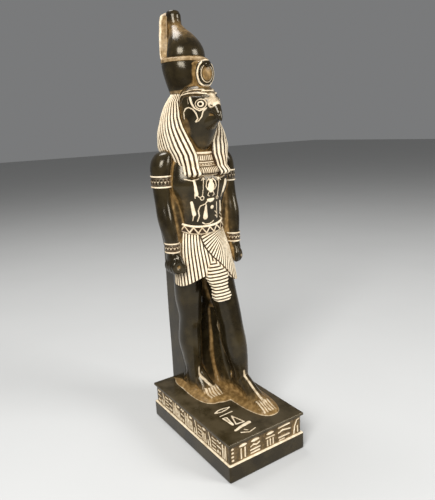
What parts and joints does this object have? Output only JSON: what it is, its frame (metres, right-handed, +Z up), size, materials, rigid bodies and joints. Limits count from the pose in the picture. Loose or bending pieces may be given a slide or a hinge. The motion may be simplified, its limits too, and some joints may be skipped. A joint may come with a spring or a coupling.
{
  "type": "horus falcon figure",
  "caption": "Striding falcon-headed figure with a double crown, striped wig and pleated kilt, cast in one piece with its back pillar and stepped rectangular plinth.",
  "frame": {"origin": "middle of the plinth's underside", "axes": "+Z up; the figure faces -Y and its right hand is at -X"},
  "size_m": [0.088, 0.138, 0.3995],
  "materials": {
    "patinated_stone": "polished very dark olive-brown cast stone with a cream and gold-brown patina left in the carving"
  },
  "bodies": {
    "root": {"horus_figure": "patinated_stone"}
  },
  "joints": []
}
